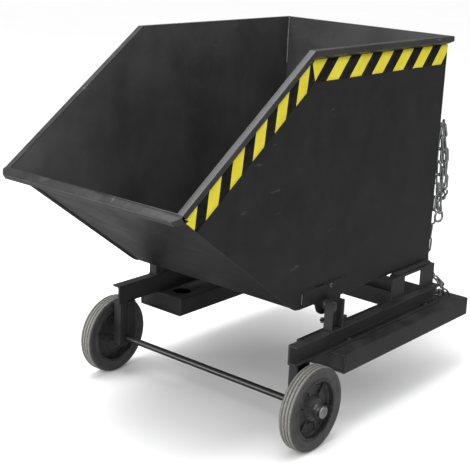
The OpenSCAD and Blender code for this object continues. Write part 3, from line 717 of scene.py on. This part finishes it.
    # Bright welds along the top and outer edge of the pocket ends, where a highlight falls: in part a
    # painted highlight.
    runs = both([wavy((x0 + 0.05, y - 0.001, z1 + 0.001), (x1 - 0.002, y - 0.001, z1 + 0.001), 60),
                 wavy((x1 + 0.001, y - 0.001, z1 - 0.002), (x1 + 0.001, y - 0.001, z0 + 0.03), 61)])
    mesh = shiny.grow("frame_bright_welds", line_mesh("highlit_ground seams", runs), Step=0.0032,
                      Bead=0.0017, Seed=6)
    piece("frame_bright_welds", mesh, "frame")


# ---------- chain ----------

def chain_tree():
    t = Tree("long link chain", Pitch=0.042, Link_length=0.055, Link_width=0.0235, Wire=0.0066,
             Roll=0.4, Seed=4)
    half = t.maths("MULTIPLY", t.size("Wire"), 0.5)
    wide = t.maths("SUBTRACT", t.size("Link_width"), t.size("Wire"))
    long = t.maths("SUBTRACT", t.size("Link_length"), t.size("Wire"))
    bend = t.maths("MULTIPLY", wide, 0.499)
    oval = t.add("GeometryNodeCurvePrimitiveQuadrilateral")
    t.wire(long, oval, "Width")
    t.wire(wide, oval, "Height")
    fillet = t.add("GeometryNodeFilletCurve", mode="POLY")
    t.wire(oval.outputs[0], fillet, "Curve")
    t.wire(bend, fillet, "Radius")
    fillet.inputs["Count"].default_value = 7
    ring = t.add("GeometryNodeCurvePrimitiveCircle", mode="RADIUS")
    ring.inputs["Resolution"].default_value = 12
    t.wire(half, ring, "Radius")
    link = t.add("GeometryNodeCurveToMesh")
    t.wire(fillet.outputs[0], link, "Curve")
    t.wire(ring.outputs[0], link, "Profile Curve")
    smooth = t.add("GeometryNodeSetShadeSmooth")
    t.wire(link.outputs[0], smooth, "Geometry")

    curve = t.add("GeometryNodeMeshToCurve")
    t.wire(t.start.outputs[0], curve, "Mesh")
    even = t.add("GeometryNodeResampleCurve", mode="LENGTH")
    t.wire(curve.outputs[0], even, "Curve")
    t.wire(t.size("Pitch"), even, "Length")
    along = t.add("GeometryNodeInputTangent")
    aim = t.add("FunctionNodeAlignRotationToVector", axis="X")
    t.wire(along.outputs[0], aim, "Vector")
    odd = t.maths("MODULO", t.add("GeometryNodeInputIndex").outputs[0], 2)
    luck = t.add("FunctionNodeRandomValue", data_type="FLOAT")
    low, high = [s for s in luck.inputs if s.name in ("Min", "Max") and s.type == "VALUE"][:2]
    low.default_value, high.default_value = -0.22, 0.22
    t.wire(t.size("Seed"), luck, "Seed")
    stray = [o for o in luck.outputs if o.type == "VALUE"][0]
    quarter = t.maths("MULTIPLY_ADD", odd, math.pi / 2, t.maths("ADD", stray, t.size("Roll")))
    euler = t.add("ShaderNodeCombineXYZ")
    t.wire(quarter, euler, 0)
    spin = t.add("FunctionNodeEulerToRotation")
    t.wire(euler.outputs[0], spin, 0)
    turn = t.add("FunctionNodeRotateRotation", rotation_space="LOCAL")
    t.wire(aim.outputs[0], turn, 0)
    t.wire(spin.outputs[0], turn, 1)
    place = t.add("GeometryNodeInstanceOnPoints")
    t.wire(even.outputs[0], place, "Points")
    t.wire(smooth.outputs[0], place, "Instance")
    t.wire(turn.outputs[0], place, "Rotation")
    t.close(place.outputs[0], CHAIN)
    return t


def smooth_run(points, step=0.006):
    """A soft curve through the points."""
    pts = [Vector(p) for p in points]
    pts = [pts[0] * 2 - pts[1]] + pts + [pts[-1] * 2 - pts[-2]]
    out = []
    for a, b, c, d in zip(pts, pts[1:], pts[2:], pts[3:]):
        count = max(2, int((c - b).length / step))
        for i in range(count):
            t = i / count
            out.append(0.5 * ((2 * b) + (c - a) * t + (2 * a - 5 * b + 4 * c - d) * t * t
                              + (3 * b - a - 3 * c + d) * t ** 3))
    out.append(pts[-2])
    return out


def hang_chain():
    tree = chain_tree()
    hook_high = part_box("chain_hook")[1]
    ring_low, ring_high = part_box("chain_end_ring")
    rod = Vector((hook_high.x - 0.0045, hook_high.y - 0.0045, hook_high.z - 0.0185))
    top = rod.z - 0.017
    ring_top = Vector(((ring_low.x + ring_high.x) / 2, (ring_low.y + ring_high.y) / 2, ring_high.z))
    strands = [
        ([(rod.x + 0.001, rod.y - 0.006, top), (rod.x - 0.002, rod.y - 0.004, top - 0.09),
          (rod.x + 0.004, rod.y - 0.002, top - 0.19), ring_top + Vector((0, 0, 0.016))], 0.2, 3),
        ([(rod.x + 0.001, rod.y - 0.015, top - 0.004), (rod.x + 0.010, rod.y - 0.006, top - 0.06),
          (rod.x + 0.018, rod.y + 0.008, top - 0.14), (rod.x + 0.017, rod.y + 0.012, top - 0.21),
          (rod.x + 0.012, rod.y + 0.016, top - 0.235), (rod.x + 0.006, rod.y + 0.018, top - 0.20),
          (rod.x + 0.010, rod.y + 0.020, top - 0.12), (rod.x + 0.006, rod.y + 0.010, top - 0.045),
          (rod.x + 0.001, rod.y + 0.002, top - 0.002)], 1.0, 5),
        ([(rod.x - 0.003, rod.y + 0.003, top - 0.002), (rod.x + 0.004, rod.y + 0.010, top - 0.08),
          (rod.x + 0.011, rod.y + 0.001, top - 0.16), (rod.x + 0.005, rod.y + 0.009, top - 0.25)],
         0.6, 9),
    ]
    for k, (points, roll, seed) in enumerate(strands):
        run = line_mesh("strand", [smooth_run(points)])
        mesh = tree.grow(f"chain_strand_{k + 1}", run, Roll=roll, Seed=seed)
        swaps = ("chain_bundle",) if k == 0 else ()
        piece(f"chain_strand_{k + 1}", mesh, "tub", swaps)
    run_low, run_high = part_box("chain_run")
    mid = (run_low + run_high) / 2
    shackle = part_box("chain_shackle")[1]
    points = [(rod.x + 0.001, rod.y - 0.014, top - 0.20),
              (mid.x - 0.005, mid.y + 0.001, run_high.z - 0.03),
              (mid.x - 0.010, mid.y - 0.001, mid.z), (mid.x - 0.008, mid.y, run_low.z + 0.03),
              (mid.x + 0.010, mid.y + 0.018, run_low.z - 0.012), (0.331, 0.634, shackle.z + 0.014)]
    mesh = tree.grow("chain_drop", line_mesh("drop", [smooth_run(points)]), Roll=0.7, Seed=8)
    piece("chain_drop", mesh, "tub", ("chain_run",))

    tail = [(0.334, 0.638, shackle.z + 0.003), (0.345, 0.644, shackle.z - 0.008),
            (0.352, 0.655, shackle.z - 0.026), (0.346, 0.668, shackle.z - 0.035)]
    mesh = tree.grow("chain_tail", line_mesh("tail", [smooth_run(tail)]), Roll=0.3, Seed=2,
                     Pitch=0.033, Link_length=0.046, Link_width=0.023, Wire=0.0066)
    piece("chain_tail", mesh, "frame")


def tube_mesh(name, points, radius, sides, finish):
    """A round bar bent along the points, closed at its ends."""
    bm = bmesh.new()
    pts = [Vector(p) for p in points]
    rings = []
    side = None
    for i, p in enumerate(pts):
        ahead = (pts[min(i + 1, len(pts) - 1)] - pts[max(i - 1, 0)]).normalized()
        if side is None:
            side = ahead.orthogonal().normalized()
        side = (side - ahead * side.dot(ahead)).normalized()
        up = ahead.cross(side)
        rings.append([bm.verts.new(p + radius * (math.cos(a) * side + math.sin(a) * up))
                      for a in (2 * math.pi * k / sides for k in range(sides))])
    for a, b in zip(rings, rings[1:]):
        for k in range(sides):
            bm.faces.new((a[k], a[(k + 1) % sides], b[(k + 1) % sides], b[k])).smooth = True
    bm.faces.new(rings[0][::-1])
    bm.faces.new(rings[-1])
    bmesh.ops.recalc_face_normals(bm, faces=bm.faces)
    mesh = bpy.data.meshes.new(name)
    bm.to_mesh(mesh)
    bm.free()
    mesh.materials.append(finish)
    return mesh


def joined(name, meshes):
    bm = bmesh.new()
    finishes = []
    for mesh in meshes:
        start = len(bm.faces)
        bm.from_mesh(mesh)
        bm.faces.ensure_lookup_table()
        finish = mesh.materials[0]
        if finish not in finishes:
            finishes.append(finish)
        for face in bm.faces[start:]:
            face.material_index = finishes.index(finish)
    out = bpy.data.meshes.new(name)
    bm.to_mesh(out)
    bm.free()
    for finish in finishes:
        out.materials.append(finish)
    return out


def snap_hook():
    """Pear-shaped spring hook at the chain's end, with its hinged gate."""
    low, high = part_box("chain_end_ring")
    c = (low + high) / 2
    body = []
    for k in range(45):
        a = math.radians(118 + 304 * k / 44)
        r = 0.019 + 0.006 * math.sin(a)
        body.append((c.x + 0.004 * math.cos(a), c.y + r * 0.86 * math.cos(a), c.z + r * math.sin(a)))
    gate = [Vector(body[0]), Vector(body[0]).lerp(Vector(body[-1]), 0.5) + Vector((0, 0, 0.0015)),
            Vector(body[-1])]
    meshes = [tube_mesh("hook bar", body, 0.0038, 12, CHAIN),
              tube_mesh("gate", gate, 0.0027, 10, ZINC),
              tube_mesh("gate pin", [gate[0] + Vector((-0.0055, 0, 0)), gate[0] + Vector((0.0055, 0, 0))],
                        0.0016, 10, ZINC)]
    piece("snap_hook", joined("snap_hook", meshes), "tub", ("chain_end_ring",))


# ---------- bolts and nuts ----------

def bolt_tree(name, finish):
    t = Tree(name, Across=0.013, Head=0.0053, Washer=0.008, Washer_thick=0.0016,
             Stub=0.0, Stub_radius=0.004)
    radius = t.maths("DIVIDE", t.size("Across"), 1.732)
    deep = t.maths("MULTIPLY", t.size("Head"), 0.84)
    lid = t.maths("MULTIPLY", t.size("Head"), 0.16)
    crown = t.maths("MULTIPLY", radius, 0.84)
    disc = t.add("GeometryNodeMeshCylinder")
    disc.inputs["Vertices"].default_value = 28
    t.wire(t.size("Washer"), disc, "Radius")
    t.wire(t.size("Washer_thick"), disc, "Depth")
    hexa = t.add("GeometryNodeMeshCylinder")
    hexa.inputs["Vertices"].default_value = 6
    t.wire(radius, hexa, "Radius")
    t.wire(deep, hexa, "Depth")
    cap = t.add("GeometryNodeMeshCone")
    cap.inputs["Vertices"].default_value = 24
    t.wire(crown, cap, "Radius Top")
    t.wire(radius, cap, "Radius Bottom")
    t.wire(lid, cap, "Depth")
    rod = t.add("GeometryNodeMeshCylinder")
    rod.inputs["Vertices"].default_value = 20
    t.wire(t.size("Stub_radius"), rod, "Radius")
    t.wire(t.size("Stub"), rod, "Depth")

    def raised(source, *heights):
        total = 0.0
        for share, value in heights:
            total = t.maths("MULTIPLY_ADD", value, share, total)
        vec = t.add("ShaderNodeCombineXYZ")
        t.wire(total, vec, 2)
        move = t.add("GeometryNodeTransform")
        t.wire(source, move, "Geometry")
        t.wire(vec.outputs[0], move, "Translation")
        return move.outputs[0]

    thick = t.size("Washer_thick")
    join = t.add("GeometryNodeJoinGeometry")
    t.wire(raised(disc.outputs[0], (0.5, thick)), join, 0)
    t.wire(raised(hexa.outputs[0], (1.0, thick), (0.5, deep)), join, 0)
    t.wire(raised(cap.outputs[0], (1.0, thick), (1.0, deep)), join, 0)
    t.wire(raised(rod.outputs[0], (1.0, thick), (1.0, t.size("Head")), (0.45, t.size("Stub"))), join, 0)
    facing = t.add("GeometryNodeInputNamedAttribute", data_type="FLOAT_VECTOR")
    facing.inputs[0].default_value = "lean"
    aim = t.add("FunctionNodeAlignRotationToVector", axis="Z")
    t.wire(facing.outputs[0], aim, "Vector")
    luck = t.add("FunctionNodeRandomValue", data_type="FLOAT_VECTOR")
    luck.inputs[0].default_value = (0, 0, 0)
    luck.inputs[1].default_value = (0, 0, 1.0)
    spin = t.add("FunctionNodeEulerToRotation")
    t.wire(luck.outputs[0], spin, 0)
    turn = t.add("FunctionNodeRotateRotation", rotation_space="LOCAL")
    t.wire(aim.outputs[0], turn, 0)
    t.wire(spin.outputs[0], turn, 1)
    place = t.add("GeometryNodeInstanceOnPoints")
    t.wire(t.start.outputs[0], place, "Points")
    t.wire(join.outputs[0], place, "Instance")
    t.wire(turn.outputs[0], place, "Rotation")
    t.close(place.outputs[0], finish)
    return t


def spots(name, places):
    """Points that each carry the way their bolt faces."""
    mesh = bpy.data.meshes.new(name)
    mesh.from_pydata([p for p, d in places], [], [])
    lean = mesh.attributes.new("lean", "FLOAT_VECTOR", "POINT")
    for row, (p, d) in zip(lean.data, places):
        row.vector = d
    return mesh


def fit_bolts():
    bare = bolt_tree("zinc bolt", ZINC)
    # Painted bolts take the lighter frame edge coat, a painted highlight on them.
    painted = bolt_tree("painted bolt", BASE_EDGE_LIT)
    low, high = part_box("pocket_bolts")
    z = low.z
    x = high.x - 0.008
    ys = (low.y + 0.008, high.y - 0.008)
    mesh = painted.grow("pocket_bolts_fitted", spots("pocket bolts", [
        ((s * x, y, z), (0, 0, 1)) for s in (1, -1) for y in ys]), Across=0.013, Head=0.0056,
        Washer=0.008, Washer_thick=0.0016)
    piece("pocket_bolts_fitted", mesh, "frame", ("pocket_bolts",))
    low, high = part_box("ear_bolts")
    x = high.x - 0.0042
    mesh = bare.grow("ear_bolts_fitted", spots("ear bolts", [
        ((s * x, (low.y + high.y) / 2, (low.z + high.z) / 2), (s, 0, 0)) for s in (1, -1)]),
        Across=0.0097, Head=0.003, Washer=0.0065, Washer_thick=0.0012)
    piece("ear_bolts_fitted", mesh, "tub", ("ear_bolts",))
    low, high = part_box("pivot_nuts")
    x = high.x - 0.0095
    mesh = painted.grow("pivot_nuts_fitted", spots("pivot nuts", [
        ((s * x, (low.y + high.y) / 2, (low.z + high.z) / 2), (s, 0, 0)) for s in (1, -1)]),
        Across=0.030, Head=0.007, Washer=0.0185, Washer_thick=0.0025, Stub=0.004,
        Stub_radius=0.0101)
    piece("pivot_nuts_fitted", mesh, "frame", ("pivot_nuts",))
    low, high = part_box("castor_bolts")
    y = (low.y + high.y) / 2
    places = []
    for sx in (1, -1):
        for sy in (1, -1):
            places.append(((sx * 0.025, y + sy * 0.025, high.z - 0.005), (0, 0, 1)))
            places.append(((sx * 0.025, y + sy * 0.025, low.z + 0.004), (0, 0, -1)))
    mesh = bare.grow("castor_bolts_fitted", spots("castor bolts", places), Across=0.0096,
                     Head=0.0036, Washer=0.0055, Washer_thick=0.001)
    piece("castor_bolts_fitted", mesh, "frame", ("castor_bolts",))


# ---------- the folded and welded steelwork ----------

def finish_steelwork():
    inward = {"side_panel_near": (-1, 0, 0), "side_panel_far": (1, 0, 0),
              "front_plate": (0, FRONT_IN.x, FRONT_IN.y), "floor_plate": (0, 0, 1),
              "rear_panel": (0, -1, 0)}
    for node, toward in inward.items():
        softened(node, TUB, TUB_EDGE_LIT, 0.7, lit_lining=TUB_INSIDE_LIT, toward=toward)
    for node in ("rim_slope_near", "rim_slope_far", "rim_top_near", "rim_top_far", "rim_lip",
                 "rim_rear"):
        softened(node, RIM, TUB_EDGE_LIT, 0.25, steps=1)
    for node in ("pivot_ear_near", "pivot_ear_far"):
        softened(node, TUB, TUB_EDGE_LIT, 0.8)
    for node in ("channel_near", "channel_far", "fork_pocket_near", "fork_pocket_far",
                 "pocket_end_plates", "rear_crossbeam", "upright_near", "upright_far",
                 "rear_rest_near", "rear_rest_far", "wheel_bracket_near", "wheel_bracket_far",
                 "latch_bracket", "castor_post", "latch_lever"):
        softened(node, BASE, BASE_EDGE_LIT, 0.8)
    for node in ("pivot_spacers", "axle_collars"):
        softened(node, BASE, BASE_EDGE_LIT, 0.6)
    softened("rest_pads", PAD, None, 0.8)
    softened("castor_fork", ZINC, None, 0.6)
    softened("castor_top_plate", ZINC, None, 0.5)
    softened("ear_bushes", ZINC, None, 0.5)
    softened("latch_keeper", BAR, None, 0.6)
    softened("chain_shackle", CHAIN, None, 0.4)


def finish_carried_nodes():
    for node in ("pivot_shaft", "latch_pin", "axle_rod"):
        coated(node, BAR)
    for node in ("chain_hook", "castor_axle_bolt", "hub_cap_near", "hub_cap_far"):
        coated(node, ZINC)
    for node in ("wheel_disc_near", "wheel_disc_far", "castor_core"):
        coated(node, DISC)
    coated("latch_grip", PAD)
    wheel_low, wheel_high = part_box("tyre_near")
    hub = (wheel_low + wheel_high) / 2
    tread = tyre_rubber("solid tyre", (0, hub.y, hub.z), 0.1233)
    coated("tyre_near", tread)
    coated("tyre_far", tread)
    low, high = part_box("castor_tyre")
    hub = (low + high) / 2
    coated("castor_tyre", tyre_rubber("castor tyre", (0, hub.y, hub.z), 0.0388))


# ---------- studio ----------

def set_floor():
    bm = bmesh.new()
    bmesh.ops.create_grid(bm, x_segments=1, y_segments=1, size=90)
    mesh = bpy.data.meshes.new("floor")
    bm.to_mesh(mesh)
    bm.free()
    f = Finish("pale floor")
    mirrored = f.add("ShaderNodeLightPath").outputs["Is Glossy Ray"]
    pale = f.blend(f.cloud(0.8, 2), (0.93, 0.93, 0.93), (0.96, 0.96, 0.96))
    f.set(base_color=f.blend(mirrored, pale, (0.24, 0.24, 0.24)), roughness=0.9, specular_ior_level=0.1)
    mesh.materials.append(f.mat)
    floor = loose("floor", mesh)
    floor.location.z = -0.0005


def softbox(name, at, aim, size, power):
    lamp = bpy.data.lights.new(name, "AREA")
    lamp.shape = "RECTANGLE"
    lamp.size, lamp.size_y = size
    lamp.energy = power
    ob = bpy.data.objects.new(name, lamp)
    scene.collection.objects.link(ob)
    at, aim = Vector(at), Vector(aim)
    ob.matrix_world = Matrix.Translation(at) @ (aim - at).to_track_quat("-Z", "Y").to_matrix().to_4x4()


def light_studio():
    world = bpy.data.worlds.new("studio")
    scene.world = world
    world.use_nodes = True
    tree = world.node_tree
    back = tree.nodes["Background"]
    back.inputs["Color"].default_value = (1, 1, 1, 1)
    ray = tree.nodes.new("ShaderNodeLightPath")
    level = tree.nodes.new("ShaderNodeMapRange")
    tree.links.new(ray.outputs["Is Glossy Ray"], level.inputs["Value"])
    level.inputs["To Min"].default_value = 1.06
    level.inputs["To Max"].default_value = 0.26
    tree.links.new(level.outputs[0], back.inputs["Strength"])
    softbox("overhead", (-0.2, -0.7, 3.3), (0, -0.1, 0.5), (2.2, 2.2), 110)
    softbox("front left", (-1.9, -3.2, 0.7), (0.1, -0.1, 0.3), (1.6, 1.1), 48)
    softbox("key", (0.6, -3.4, 2.9), (0, -0.1, 0.6), (1.6, 1.6), 40)


def set_camera():
    lens = bpy.data.cameras.new("view")
    lens.lens = 86.25
    lens.sensor_width = 36
    lens.shift_x = -0.0214
    lens.shift_y = -0.1256
    lens.clip_end = 300
    ob = bpy.data.objects.new("view", lens)
    scene.collection.objects.link(ob)
    ob.location = (2.0738, -2.6250, 1.4881)
    ob.rotation_euler = [math.radians(angle) for angle in (76.703, -2.878, 39.288)]
    scene.camera = ob


set_camera()
finish_steelwork()
finish_carried_nodes()
lay_tape()
lay_welds()
hang_chain()
snap_hook()
fit_bolts()
set_floor()
light_studio()
scene.view_settings.view_transform = "Standard"
